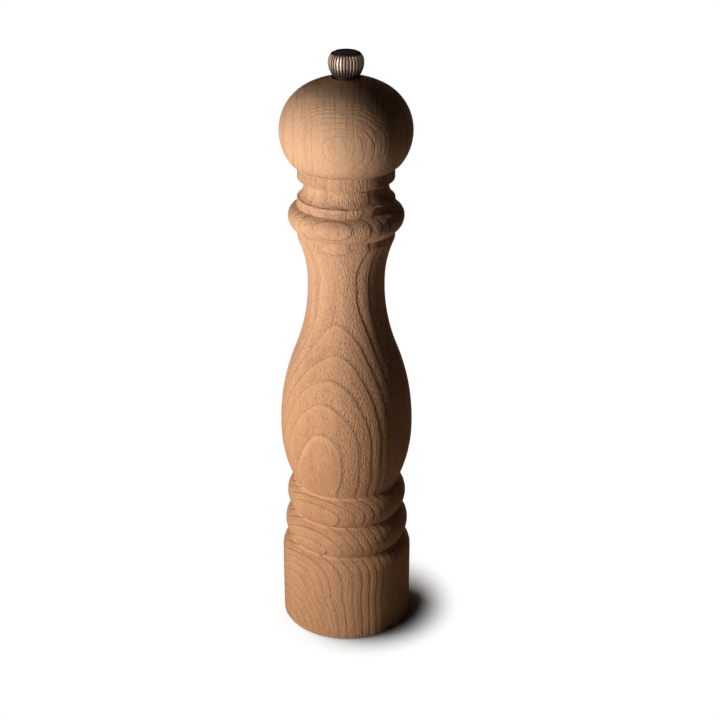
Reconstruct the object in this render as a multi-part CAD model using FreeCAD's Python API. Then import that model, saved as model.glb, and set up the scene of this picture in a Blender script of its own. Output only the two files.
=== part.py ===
import FreeCAD, Part
import math
import os

# A turned wooden pepper mill. Millimetres, +Z up, origin in the middle of the resting face.
# The pieces are spun about Z, and every height is stacked on the one below it.

# Outline of the body, from the table up: radii
base_radius = 33.55
base_groove_radius = 28.7
lower_bead_radius = 31.8
bead_groove_radius = 27.2
upper_bead_radius = 30.55
vase_groove_radius = 26.6
vase_foot_radius = 26.9
vase_radius = 33.25
waist_radius = 18.8
torus_radius = 28.0
ring_low_radius = 23.8
ring_top_radius = 23.5
cove_foot_radius = 22.7
neck_radius = 20.4

# Outline of the body, from the table up: heights of each stretch
base_edge = 0.6
base_side_height = 37.7
base_shoulder_height = 8.1
lower_bead_height = 16.9
upper_bead_height = 16.3
vase_foot_height = 1.2
vase_lower_height = 29.2
vase_middle_height = 2.0
vase_upper_height = 75.0
waist_height = 1.5
flare_height = 22.5
lip_height = 3.8
torus_lower_height = 7.1
torus_upper_height = 5.2
ring_height = 4.3
cove_height = 6.1
neck_height = 2.6
vase_shoulder_arc = 108.0
flare_arc = 55.0

# Outline of the head
collar_radius = 23.25
collar_edge = 0.4
collar_height = 5.9
dome_edge_width = 3.0
dome_edge_height = 2.0
dome_edge_bulge = 0.28
dome_radius = 31.55
dome_lower_height = 15.2
dome_upper_height = 25.4
crown_rise = 2.1

# Hollow of the body, and the head's tenon in its mouth
chamber_radius = 12.5
mouth_radius = 14.0
mouth_depth = 16.3
recess_radius = 21.0
recess_depth = 26.0
tenon_clearance = 0.3
plate_floor_gap = 0.4

# Spindle
spindle_side = 6.0
thread_radius = 2.5
thread_depth = 0.5
thread_pitch = 1.0
thread_length = 12.2
spindle_neck_length = 2.0
spindle_bottom = 1.8
spindle_bore_clearance = 0.45
guide_clearance = 0.35
plate_hole_clearance = 0.3
bush_hole_clearance = 0.2
rotor_hole_clearance = 0.05

# Drive plate and its screws
plate_thickness = 1.5
plate_edge_clearance = 0.8
plate_screw_offset = 9.0
plate_screw_radius = 1.2
plate_screw_length = 11.0
plate_screw_head_radius = 2.2
plate_screw_head_height = 1.4
screw_fit = 0.05
screw_slot_width = 0.7
screw_slot_depth = 0.6

# Bridge, bush and clip under the grinder
bridge_bottom = 3.0
bridge_thickness = 2.0
bridge_width = 9.0
bridge_landing = 3.2
bridge_slot_clearance = 0.2
bridge_screw_radius = 1.6
bridge_screw_head_radius = 3.0
bridge_screw_head_height = 1.4
bridge_screw_length = 14.0
bush_radius = 6.0
bush_running_fit = 0.05
bush_flange_width = 1.6
bush_flange_height = 1.2
bush_tail = 1.8
clip_groove_depth = 0.7
clip_thickness = 0.7
clip_width = 2.4
clip_fit = 0.05
clip_bridge_gap = 0.25
clip_opening = 50.0

# Grinder
stator_bottom = 7.0
stator_fit = 0.05
throat_radius = 13.6
throat_height = 15.0
land_slope = 0.45
funnel_radius = 15.4
grind_gap = 0.55
rotor_bottom = 7.5
rotor_height = 14.0
rotor_top_radius = 9.4
rotor_web = 3.5
land_tooth_count = 28
land_tooth_width = 2.0
land_tooth_depth = 0.8
land_tooth_lean = 22.0
feed_groove_count = 7
feed_groove_radius = 2.4
feed_groove_depth = 1.2
feed_groove_lean = 32.0
cutter_length = 40.0
pin_radius = 1.0
pin_length = 13.0
pin_fit = 0.05

# Guide, spring and spring seats over the rotor
guide_rim_radius = 17.4
guide_rim_height = 1.5
guide_rim_width = 4.4
guide_fit = 0.05
guide_arm_count = 3
guide_arm_width = 3.2
guide_arm_height = 2.0
guide_hub_radius = 7.0
guide_hub_height = 3.0
seat_radius = 6.1
seat_thickness = 0.8
spring_wire = 1.0
spring_mean_radius = 5.4
spring_turn_count = 5
spring_end_gap = 0.1
spring_bore_clearance = 0.4
spring_gap_steps = 72

# Knob, its insert, its cap and the washer under it
washer_radius = 6.6
washer_thickness = 1.0
washer_fit = 0.3
washer_sink = 0.2
thread_clearance = 0.3
knob_foot_radius = 6.6
knob_foot_height = 0.5
knob_radius = 8.4
knob_lower_height = 6.3
knob_upper_height = 4.2
knob_shoulder_radius = 6.6
knob_rim_height = 0.3
knob_rim_width = 0.9
knob_flute_count = 32
flute_radius = 0.7
flute_depth = 0.42
cap_depth = 1.1
cap_crown = 0.3
cap_fit = 0.05
insert_radius = 4.2
insert_height = 7.2
insert_sink = 0.6
insert_fit = 0.05
spindle_tip_room = 1.4

ORIGIN = FreeCAD.Vector(0, 0, 0)
X_AXIS = FreeCAD.Vector(1, 0, 0)
Y_AXIS = FreeCAD.Vector(0, 1, 0)
Z_AXIS = FreeCAD.Vector(0, 0, 1)

# Heights that follow from the stack
base_side_top = base_edge + base_side_height
base_groove_z = base_side_top + base_shoulder_height
bead_groove_z = base_groove_z + lower_bead_height
vase_groove_z = bead_groove_z + upper_bead_height
vase_foot_z = vase_groove_z + vase_foot_height
vase_low_z = vase_foot_z + vase_lower_height
vase_high_z = vase_low_z + vase_middle_height
waist_low_z = vase_high_z + vase_upper_height
waist_high_z = waist_low_z + waist_height
lip_low_z = waist_high_z + flare_height
lip_high_z = lip_low_z + lip_height
torus_z = lip_high_z + torus_lower_height
ring_low_z = torus_z + torus_upper_height
ring_top_z = ring_low_z + ring_height
cove_top_z = ring_top_z + cove_height
neck_top_z = cove_top_z + neck_height
mouth_floor_z = neck_top_z - mouth_depth
collar_top_z = neck_top_z + collar_height
dome_edge_z = collar_top_z + dome_edge_height
dome_z = dome_edge_z + dome_lower_height
dome_top_z = dome_z + dome_upper_height
plate_bottom_z = mouth_floor_z + plate_floor_gap
tenon_bottom_z = plate_bottom_z + plate_thickness
tenon_radius = mouth_radius - tenon_clearance
spindle_corner = spindle_side / math.sqrt(2)
head_bore_radius = spindle_corner + spindle_bore_clearance
bridge_top = bridge_bottom + bridge_thickness
bridge_screw_offset = recess_radius + bridge_landing
guide_seat_z = recess_depth - guide_rim_height
guide_low_z = recess_depth - guide_arm_height
land_low_radius = throat_radius + land_slope * (throat_height - stator_bottom)
rotor_throat_radius = throat_radius - grind_gap
rotor_low_radius = rotor_throat_radius + land_slope * (throat_height - rotor_bottom)
rotor_top_z = rotor_bottom + rotor_height
rotor_floor_z = rotor_bottom + rotor_web
spring_low_z = rotor_floor_z + seat_thickness
spring_high_z = guide_low_z - seat_thickness
washer_floor_z = dome_top_z - washer_sink - washer_thickness
knob_base_z = washer_floor_z + washer_thickness
knob_foot_z = knob_base_z + knob_foot_height
knob_z = knob_foot_z + knob_lower_height
knob_shoulder_z = knob_z + knob_upper_height
knob_rim_z = knob_shoulder_z + knob_rim_height
cap_floor_z = knob_rim_z - cap_depth
cap_radius = knob_shoulder_radius - knob_rim_width
insert_low_z = knob_base_z + insert_sink
insert_high_z = insert_low_z + insert_height
thread_top_z = insert_high_z + thread_pitch / 2
thread_low_z = thread_top_z - thread_length
square_top_z = thread_low_z - spindle_neck_length


class Outline:
    """A closed chain of lines and arcs in the XZ plane, to be spun about Z."""

    def __init__(self, radius, height):
        self.start = FreeCAD.Vector(radius, 0, height)
        self.here = self.start
        self.edges = []

    def line_to(self, radius, height):
        end = FreeCAD.Vector(radius, 0, height)
        self.edges.append(Part.LineSegment(self.here, end).toShape())
        self.here = end

    def arc_through(self, middle, radius, height):
        end = FreeCAD.Vector(radius, 0, height)
        self.edges.append(Part.Arc(self.here, middle, end).toShape())
        self.here = end

    def round_from_vertical(self, radius, height):
        """Leave the present point along Z and bend to the new one."""
        end = FreeCAD.Vector(radius, 0, height)
        self.arc_through(upright_arc_middle(self.here, end), radius, height)

    def round_to_vertical(self, radius, height):
        """Bend from the present point so as to reach the new one along Z."""
        end = FreeCAD.Vector(radius, 0, height)
        self.arc_through(upright_arc_middle(end, self.here), radius, height)

    def bulge_to(self, radius, height, bulge):
        """Arc whose middle stands off its chord, to the right of the way it runs."""
        end = FreeCAD.Vector(radius, 0, height)
        chord = end - self.here
        side = FreeCAD.Vector(chord.z, 0, -chord.x).normalize()
        self.arc_through(self.here + chord * 0.5 + side * bulge, radius, height)

    def spin(self):
        self.line_to(self.start.x, self.start.z)
        face = Part.Face(Part.Wire(self.edges))
        return face.revolve(ORIGIN, Z_AXIS, 360)


def upright_arc_radius(inward, rise):
    """Radius of the arc that starts along Z and goes inward while it rises."""
    return (inward * inward + rise * rise) / (2 * inward)


def polar_point(centre_z, radius, angle):
    """Point of the XZ plane on a circle centred on the axis, at an angle from straight up."""
    return FreeCAD.Vector(radius * math.sin(angle), 0, centre_z + radius * math.cos(angle))


def upright_arc_middle(upright, end):
    """Middle of the arc that is parallel to Z at the point upright and passes through end."""
    rise = end.z - upright.z
    radius = upright_arc_radius(upright.x - end.x, rise)
    size = abs(radius)
    side = math.copysign(1, radius)
    centre = upright.x - radius
    half = math.atan2(rise, side * (end.x - centre)) / 2
    middle_x = centre + side * size * math.cos(half)
    return FreeCAD.Vector(middle_x, 0, upright.z + size * math.sin(half))


def cylinder(radius, low, high):
    return Part.makeCylinder(radius, high - low, FreeCAD.Vector(0, 0, low))


def tube(outer, inner, low, high):
    return cylinder(outer, low, high).cut(cylinder(inner, low, high))


def square_bar(side, low, high):
    return Part.makeBox(side, side, high - low, FreeCAD.Vector(-side / 2, -side / 2, low))


def moved(shape, x, y, z):
    copy = shape.copy()
    copy.translate(FreeCAD.Vector(x, y, z))
    return copy


def turned(shape, angle):
    copy = shape.copy()
    copy.rotate(ORIGIN, Z_AXIS, angle)
    return copy


def ring_of(shape, count):
    return [turned(shape, 360 * i / count) for i in range(count)]


def round_ended_bar(half_length, width, low, high):
    """Bar along X whose ends are half circles centred half_length from the middle."""
    corner = FreeCAD.Vector(-half_length, -width / 2, low)
    bar = Part.makeBox(2 * half_length, width, high - low, corner)
    ends = [moved(cylinder(width / 2, low, high), x, 0, 0) for x in (-half_length, half_length)]
    return bar.fuse(ends).removeSplitter()


def lay_on_cone(cutter, radius, height, slope, lean, inside):
    """Lay a cutter that runs along Z on a cone that narrows upward by slope, leaning to one side."""
    copy = cutter.copy()
    copy.rotate(ORIGIN, X_AXIS, lean)
    if inside:
        copy.rotate(ORIGIN, Z_AXIS, 180)
    copy.rotate(ORIGIN, Y_AXIS, -math.degrees(math.atan(slope)))
    copy.translate(FreeCAD.Vector(radius, 0, height))
    return copy


def vee_cutter():
    """Three-sided bar whose edge stands land_tooth_depth under the surface that it lies on."""
    reach = 2 * land_tooth_depth
    half_width = land_tooth_width / 2 * (land_tooth_depth + reach) / land_tooth_depth
    low = -cutter_length / 2
    edge = (-land_tooth_depth, 0)
    corners = [edge, (reach, -half_width), (reach, half_width), edge]
    wire = Part.makePolygon([FreeCAD.Vector(x, y, low) for x, y in corners])
    return Part.Face(wire).extrude(FreeCAD.Vector(0, 0, cutter_length))


def round_cutter():
    low = -cutter_length / 2
    bar = cylinder(feed_groove_radius, low, low + cutter_length)
    return moved(bar, feed_groove_radius - feed_groove_depth, 0, 0)


def body():
    """Turned column: rounded base, two beads, vase, waist, flare, torus, ring and neck."""
    shape = Outline(recess_radius, 0)
    shape.line_to(base_radius - base_edge, 0)
    shape.round_to_vertical(base_radius, base_edge)
    shape.line_to(base_radius, base_side_top)
    shape.round_from_vertical(base_groove_radius, base_groove_z)
    shape.round_to_vertical(lower_bead_radius, base_groove_z + lower_bead_height / 2)
    shape.round_from_vertical(bead_groove_radius, bead_groove_z)
    shape.round_to_vertical(upper_bead_radius, bead_groove_z + upper_bead_height / 2)
    shape.round_from_vertical(vase_groove_radius, vase_groove_z)
    shape.line_to(vase_foot_radius, vase_foot_z)
    shape.round_to_vertical(vase_radius, vase_low_z)
    shape.line_to(vase_radius, vase_high_z)
    vase_to_waist(shape)
    shape.line_to(waist_radius, waist_high_z)
    lip_radius = waist_radius + flare_arc - math.sqrt(flare_arc ** 2 - flare_height ** 2)
    shape.round_from_vertical(lip_radius, lip_low_z)
    shape.line_to(lip_radius, lip_high_z)
    shape.round_to_vertical(torus_radius, torus_z)
    shape.round_from_vertical(ring_low_radius, ring_low_z)
    shape.line_to(ring_top_radius, ring_top_z)
    shape.line_to(cove_foot_radius, ring_top_z)
    shape.round_to_vertical(neck_radius, cove_top_z)
    shape.line_to(neck_radius, neck_top_z)
    shape.line_to(mouth_radius, neck_top_z)
    shape.line_to(mouth_radius, mouth_floor_z)
    shape.line_to(chamber_radius, mouth_floor_z)
    shape.line_to(chamber_radius, recess_depth)
    shape.line_to(recess_radius, recess_depth)
    slot_width = bridge_width + 2 * bridge_slot_clearance
    slot = round_ended_bar(bridge_screw_offset, slot_width, 0, bridge_top)
    pilot = bridge_screw_bodies(bridge_screw_radius + screw_fit, screw_fit)
    return shape.spin().cut([slot] + pilot)


def vase_to_waist(shape):
    """S-shaped side of the vase: two arcs, both upright where they end, that share one tangent."""
    narrowing = vase_radius - waist_radius
    both_arcs = upright_arc_radius(narrowing, vase_upper_height)
    share = vase_shoulder_arc / both_arcs
    bend_radius = vase_radius - share * narrowing
    bend_z = vase_high_z + share * vase_upper_height
    shape.round_from_vertical(bend_radius, bend_z)
    shape.round_to_vertical(waist_radius, waist_low_z)


def head():
    """Turned dome on its collar, with the tenon under it and the spindle's bore through it."""
    shape = Outline(head_bore_radius, tenon_bottom_z)
    shape.line_to(tenon_radius, tenon_bottom_z)
    shape.line_to(tenon_radius, neck_top_z)
    shape.line_to(collar_radius - collar_edge, neck_top_z)
    shape.round_to_vertical(collar_radius, neck_top_z + collar_edge)
    shape.line_to(collar_radius, collar_top_z)
    shape.bulge_to(collar_radius + dome_edge_width, dome_edge_z, dome_edge_bulge)
    shape.round_to_vertical(dome_radius, dome_z)
    washer_seat_radius = washer_radius + washer_fit
    crown_from_shoulder(shape, washer_seat_radius)
    shape.line_to(washer_seat_radius, washer_floor_z)
    shape.line_to(head_bore_radius, washer_floor_z)
    return shape.spin().cut(plate_screw_bodies(plate_screw_radius + screw_fit, screw_fit))


def crown_from_shoulder(shape, stop_radius):
    """Shoulder arc of the dome, then the flatter crown arc that meets it in one tangent."""
    shoulder_arc = dome_upper_height - crown_rise
    inset = dome_radius - shoulder_arc
    crown_arc = (inset ** 2 + dome_upper_height ** 2 - shoulder_arc ** 2) / (2 * crown_rise)
    crown_centre = dome_top_z - crown_arc
    along = math.atan2(inset, dome_z - crown_centre)
    meeting = polar_point(crown_centre, crown_arc, along)
    shape.round_from_vertical(meeting.x, meeting.z)
    stop = math.asin(stop_radius / crown_arc)
    through = polar_point(crown_centre, crown_arc, (along + stop) / 2)
    end = polar_point(crown_centre, crown_arc, stop)
    shape.arc_through(through, end.x, end.z)


def screw_slot(head_radius, low):
    slot = Part.makeBox(2 * head_radius, screw_slot_width, screw_slot_depth)
    return moved(slot, -head_radius, -screw_slot_width / 2, low)


def plate_screw_bodies(radius, extra):
    """Shanks of the drive plate's screws, lengthened by extra where they cut their own holes."""
    tip_z = plate_bottom_z + plate_screw_length + extra
    shape = Outline(0, plate_bottom_z)
    shape.line_to(radius, plate_bottom_z)
    shape.line_to(radius, tip_z - radius)
    shape.line_to(0, tip_z)
    shank = shape.spin()
    return [moved(shank, x, 0, 0) for x in (-plate_screw_offset, plate_screw_offset)]


def drive_plate():
    disc = cylinder(mouth_radius - plate_edge_clearance, plate_bottom_z, tenon_bottom_z)
    hole = square_bar(spindle_side + 2 * plate_hole_clearance, plate_bottom_z, tenon_bottom_z)
    return disc.cut([hole] + plate_screw_bodies(plate_screw_radius + screw_fit, screw_fit))


def drive_plate_screws():
    head_low = plate_bottom_z - plate_screw_head_height
    cheese = Outline(0, head_low)
    cheese.line_to(plate_screw_radius, head_low)
    cheese.round_to_vertical(plate_screw_head_radius, plate_bottom_z)
    cheese.line_to(0, plate_bottom_z)
    top = cheese.spin().cut(screw_slot(plate_screw_head_radius, head_low))
    shanks = plate_screw_bodies(plate_screw_radius, 0)
    places = (-plate_screw_offset, plate_screw_offset)
    return [shank.fuse(moved(top, x, 0, 0)).removeSplitter() for shank, x in zip(shanks, places)]


def bridge_screw_bodies(radius, extra):
    """Countersunk screws of the bridge, or the holes for them where extra is their clearance."""
    tip_z = bridge_bottom + bridge_screw_length + extra
    shape = Outline(0, bridge_bottom)
    shape.line_to(bridge_screw_head_radius + extra, bridge_bottom)
    shape.line_to(radius, bridge_bottom + bridge_screw_head_height)
    shape.line_to(radius, tip_z - radius)
    shape.line_to(0, tip_z)
    screw = shape.spin()
    return [moved(screw, x, 0, 0) for x in (-bridge_screw_offset, bridge_screw_offset)]


def bridge():
    bar = round_ended_bar(bridge_screw_offset, bridge_width, bridge_bottom, bridge_top)
    bearing = cylinder(bush_radius + bush_running_fit, bridge_bottom, bridge_top)
    eye_radius = bush_radius + bush_flange_width
    bar = bar.fuse(cylinder(eye_radius, bridge_bottom, bridge_top)).removeSplitter()
    return bar.cut([bearing] + bridge_screw_bodies(bridge_screw_radius + screw_fit, screw_fit))


def bridge_screws():
    slot = screw_slot(bridge_screw_head_radius, bridge_bottom)
    screws = bridge_screw_bodies(bridge_screw_radius, 0)
    places = (-bridge_screw_offset, bridge_screw_offset)
    return [screw.cut(moved(slot, x, 0, 0)) for screw, x in zip(screws, places)]


def clip_heights():
    high = bridge_bottom - clip_bridge_gap
    return high - clip_thickness, high


def spindle_bush():
    """Bush that carries the square spindle and turns in the bridge under its flange."""
    clip_low, clip_high = clip_heights()
    tail_z = bridge_bottom - bush_tail
    groove_radius = bush_radius - clip_groove_depth
    shape = cylinder(bush_radius, tail_z, bridge_top)
    flange = cylinder(bush_radius + bush_flange_width, bridge_top, bridge_top + bush_flange_height)
    shape = shape.fuse(flange).removeSplitter()
    groove = tube(bush_radius + clip_width, groove_radius, clip_low - clip_fit, clip_high + clip_fit)
    hole = square_bar(spindle_side + 2 * bush_hole_clearance, tail_z, bridge_top + bush_flange_height)
    return shape.cut([groove, hole])


def bush_clip():
    clip_low, clip_high = clip_heights()
    inner = bush_radius - clip_groove_depth + clip_fit
    ring = tube(inner + clip_width, inner, clip_low, clip_high)
    foot = FreeCAD.Vector(0, 0, clip_low)
    wedge = Part.makeCylinder(2 * bush_radius, clip_thickness, foot, Z_AXIS, clip_opening)
    return ring.cut(wedge)


def stator():
    """Toothed ring: feed grooves in the funnel, fine teeth on the land that opens downward."""
    outer = recess_radius - stator_fit
    shape = Outline(land_low_radius, stator_bottom)
    shape.line_to(outer, stator_bottom)
    shape.line_to(outer, recess_depth)
    shape.line_to(guide_rim_radius + guide_fit, recess_depth)
    shape.line_to(guide_rim_radius + guide_fit, guide_seat_z)
    shape.line_to(funnel_radius, guide_seat_z)
    shape.line_to(throat_radius, throat_height)
    middle_z = (stator_bottom + throat_height) / 2
    middle_radius = (land_low_radius + throat_radius) / 2
    tooth = lay_on_cone(vee_cutter(), middle_radius, middle_z, land_slope, land_tooth_lean, True)
    land = cylinder(recess_radius, stator_bottom, throat_height)
    return shape.spin().cut([cutter.common(land) for cutter in ring_of(tooth, land_tooth_count)])


def pin_bar(radius, length):
    bar = Part.makeCylinder(radius, length, FreeCAD.Vector(0, -pin_length / 2, 0), Y_AXIS)
    return moved(bar, 0, 0, (rotor_bottom + rotor_floor_z) / 2)


def rotor():
    """Toothed cone on the spindle, with a well in its top for the spring."""
    well_radius = seat_radius + spring_bore_clearance / 2
    shape = Outline(0, rotor_bottom)
    shape.line_to(rotor_low_radius, rotor_bottom)
    shape.line_to(rotor_throat_radius, throat_height)
    shape.line_to(rotor_top_radius, rotor_top_z)
    shape.line_to(well_radius, rotor_top_z)
    shape.line_to(well_radius, rotor_floor_z)
    shape.line_to(0, rotor_floor_z)
    cone = shape.spin()
    land_z = (rotor_bottom + throat_height) / 2
    land_radius = (rotor_low_radius + rotor_throat_radius) / 2
    tooth = lay_on_cone(vee_cutter(), land_radius, land_z, land_slope, land_tooth_lean, False)
    land = cylinder(recess_radius, rotor_bottom, throat_height)
    teeth = [cutter.common(land) for cutter in ring_of(tooth, land_tooth_count)]
    feed_slope = (rotor_throat_radius - rotor_top_radius) / (rotor_top_z - throat_height)
    feed_z = (throat_height + rotor_top_z) / 2
    feed_radius = (rotor_throat_radius + rotor_top_radius) / 2
    feed = lay_on_cone(round_cutter(), feed_radius, feed_z, feed_slope, feed_groove_lean, False)
    above_land = cylinder(recess_radius, throat_height, recess_depth)
    feeds = [cutter.common(above_land) for cutter in ring_of(feed, feed_groove_count)]
    hole = square_bar(spindle_side + 2 * rotor_hole_clearance, rotor_bottom, rotor_floor_z)
    cross_hole = pin_bar(pin_radius + pin_fit, pin_length / 2 + recess_radius)
    return cone.cut(teeth + feeds + [hole, cross_hole])


def rotor_pin():
    return pin_bar(pin_radius, pin_length)


def spindle():
    """Square rod with a grooved round top, cross-drilled for the rotor's pin."""
    rod = square_bar(spindle_side, spindle_bottom, square_top_z)
    core = thread_radius - thread_depth
    shape = Outline(0, square_top_z)
    shape.line_to(core, square_top_z)
    shape.line_to(core, thread_low_z)
    turns = int(thread_length / thread_pitch)
    for turn in range(turns):
        root_z = thread_low_z + turn * thread_pitch
        shape.line_to(thread_radius, root_z + thread_pitch / 2)
        shape.line_to(core, root_z + thread_pitch)
    shape.line_to(0, shape.here.z)
    cross_hole = pin_bar(pin_radius + pin_fit, pin_length)
    return rod.fuse(shape.spin()).removeSplitter().cut(cross_hole)


def spindle_guide():
    """Rim on the stator, three arms and the hub that centres the spindle."""
    rim = tube(guide_rim_radius, guide_rim_radius - guide_rim_width, guide_seat_z, recess_depth)
    hub = cylinder(guide_hub_radius, guide_low_z, guide_low_z + guide_hub_height)
    reach = guide_rim_radius - guide_rim_width / 2
    corner = FreeCAD.Vector(0, -guide_arm_width / 2, guide_low_z)
    arm = Part.makeBox(reach, guide_arm_width, guide_arm_height, corner)
    inside = cylinder(reach, guide_low_z, recess_depth)
    above_seat = tube(guide_rim_radius, funnel_radius - guide_arm_height, guide_low_z, guide_seat_z)
    arms = [piece.common(inside).cut(above_seat) for piece in ring_of(arm, guide_arm_count)]
    bore = cylinder(spindle_corner + guide_clearance, guide_low_z, guide_low_z + guide_hub_height)
    return rim.fuse([hub] + arms).removeSplitter().cut(bore)


def spring_seat(low):
    return tube(seat_radius, spindle_corner + guide_clearance, low, low + seat_thickness)


def helix_point(turn, start_z, pitch):
    angle = 2 * math.pi * turn
    radius = spring_mean_radius
    return FreeCAD.Vector(radius * math.cos(angle), radius * math.sin(angle), start_z + pitch * turn)


def helix_direction(turn, pitch):
    angle = 2 * math.pi * turn
    way = 2 * math.pi * spring_mean_radius
    return FreeCAD.Vector(-way * math.sin(angle), way * math.cos(angle), pitch).normalize()


def tangent_arc(start, corner, end):
    """Arc from start to end whose end tangents cross at corner, equally far from both."""
    chord_middle = (start + end) * 0.5
    bend = (corner - start).getAngle(end - corner)
    lift = math.tan(bend / 4) / math.tan(bend / 2)
    return Part.Arc(start, chord_middle + (corner - chord_middle) * lift, end).toShape()


def quarter_turn(turn, start_z, pitch):
    """A quarter of a turn of the helix as two arcs that share one tangent."""
    first = helix_point(turn, start_z, pitch)
    last = helix_point(turn + 0.25, start_z, pitch)
    leave = helix_direction(turn, pitch)
    arrive = helix_direction(turn + 0.25, pitch)
    span = last - first
    both = leave + arrive
    a = both.dot(both) - 4
    b = -2 * span.dot(both)
    c = span.dot(span)
    reach = abs(b + math.sqrt(b * b - 4 * a * c)) / abs(2 * a)
    first_corner = first + leave * reach
    last_corner = last - arrive * reach
    joint = (first_corner + last_corner) * 0.5
    return [tangent_arc(first, first_corner, joint), tangent_arc(joint, last_corner, last)]


def spring():
    """Coil spring: one round wire along a helix."""
    start_z = spring_low_z + spring_wire / 2 + spring_end_gap
    end_z = spring_high_z - spring_wire / 2 - spring_end_gap
    pitch = (end_z - start_z) / spring_turn_count
    edges = []
    for quarter in range(4 * spring_turn_count):
        edges += quarter_turn(quarter / 4, start_z, pitch)
    print("spring: least gap between turns %.2f mm" % least_coil_gap(start_z, pitch))
    start = helix_point(0, start_z, pitch)
    circle = Part.makeCircle(spring_wire / 2, start, helix_direction(0, pitch))
    shell = Part.BRepOffsetAPI.MakePipeShell(Part.Wire(edges))
    shell.add(Part.Wire(circle))
    shell.build()
    shell.makeSolid()
    return shell.shape()


def least_coil_gap(start_z, pitch):
    """Least distance from the wire's surface at its lower end to the turn above it."""
    start = helix_point(0, start_z, pitch)
    turns = [0.5 + step / spring_gap_steps for step in range(spring_gap_steps)]
    nearest = min(start.distanceToPoint(helix_point(turn, start_z, pitch)) for turn in turns)
    return nearest - spring_wire


def knob_washer():
    return tube(washer_radius, thread_radius + thread_clearance, washer_floor_z, knob_base_z)


def knob_shell():
    """Fluted barrel with a bore for its insert and a shallow seat for its cap."""
    insert_bore = insert_radius + insert_fit
    tip_bore = thread_radius + thread_clearance
    tip_room_z = insert_high_z + spindle_tip_room
    shape = Outline(insert_bore, knob_base_z)
    shape.line_to(knob_foot_radius, knob_base_z)
    shape.line_to(knob_foot_radius, knob_foot_z)
    shape.round_to_vertical(knob_radius, knob_z)
    shape.round_from_vertical(knob_shoulder_radius, knob_shoulder_z)
    shape.line_to(cap_radius + cap_fit, knob_rim_z)
    shape.line_to(cap_radius + cap_fit, cap_floor_z)
    shape.line_to(0, cap_floor_z)
    shape.line_to(0, tip_room_z)
    shape.line_to(tip_bore, tip_room_z)
    shape.line_to(tip_bore, insert_high_z)
    shape.line_to(insert_bore, insert_high_z)
    return shape.spin().cut(ring_of(flute_cutter(), knob_flute_count))


def flute_cutter():
    """Round cutter swept along the barrel's side, from its foot to its shoulder."""
    centre = knob_radius + flute_radius - flute_depth
    circle = Part.makeCircle(flute_radius, FreeCAD.Vector(centre, 0, knob_z), Z_AXIS)
    face = Part.Face(Part.Wire(circle))
    lower = upright_arc_radius(knob_radius - knob_foot_radius, knob_lower_height)
    upper = upright_arc_radius(knob_radius - knob_shoulder_radius, knob_upper_height)
    lower_turn = math.degrees(math.asin(knob_lower_height / lower))
    upper_turn = math.degrees(math.asin(knob_upper_height / upper))
    down = face.revolve(FreeCAD.Vector(knob_radius - lower, 0, knob_z), Y_AXIS, lower_turn)
    up = face.revolve(FreeCAD.Vector(knob_radius - upper, 0, knob_z), Y_AXIS, -upper_turn)
    return down.fuse(up)


def knob_insert():
    return tube(insert_radius, thread_radius + thread_clearance, insert_low_z, insert_high_z)


def knob_cap():
    """Disc let into the top of the knob, slightly domed."""
    shape = Outline(0, cap_floor_z)
    shape.line_to(cap_radius, cap_floor_z)
    shape.line_to(cap_radius, knob_rim_z)
    dome_arc = upright_arc_radius(cap_crown, cap_radius)
    half = math.asin(cap_radius / dome_arc) / 2
    dome_centre = knob_rim_z + cap_crown - dome_arc
    shape.arc_through(polar_point(dome_centre, dome_arc, half), 0, knob_rim_z + cap_crown)
    return shape.spin()


def save(name, solids):
    """Write one piece, or a group of equal pieces, to its own file."""
    shape = solids[0] if len(solids) == 1 else Part.makeCompound(solids)
    for solid in solids:
        if not solid.isValid() or len(solid.Solids) != 1:
            print("%s: %d solids, valid %s" % (name, len(solid.Solids), solid.isValid()))
    shape.exportStep("parts/%s.step" % name)


os.makedirs("parts", exist_ok=True)
save("body", [body()])
save("head", [head()])
save("drive_plate", [drive_plate()])
save("drive_plate_screws", drive_plate_screws())
save("bridge", [bridge()])
save("bridge_screws", bridge_screws())
save("spindle_bush", [spindle_bush()])
save("bush_clip", [bush_clip()])
save("stator", [stator()])
save("rotor", [rotor()])
save("rotor_pin", [rotor_pin()])
save("spindle", [spindle()])
save("spindle_guide", [spindle_guide()])
save("spring_seat_upper", [spring_seat(spring_high_z)])
save("spring_seat_lower", [spring_seat(rotor_floor_z)])
save("spring", [spring()])
save("knob_washer", [knob_washer()])
save("knob_shell", [knob_shell()])
save("knob_insert", [knob_insert()])
save("knob_cap", [knob_cap()])
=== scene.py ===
import math

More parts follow.
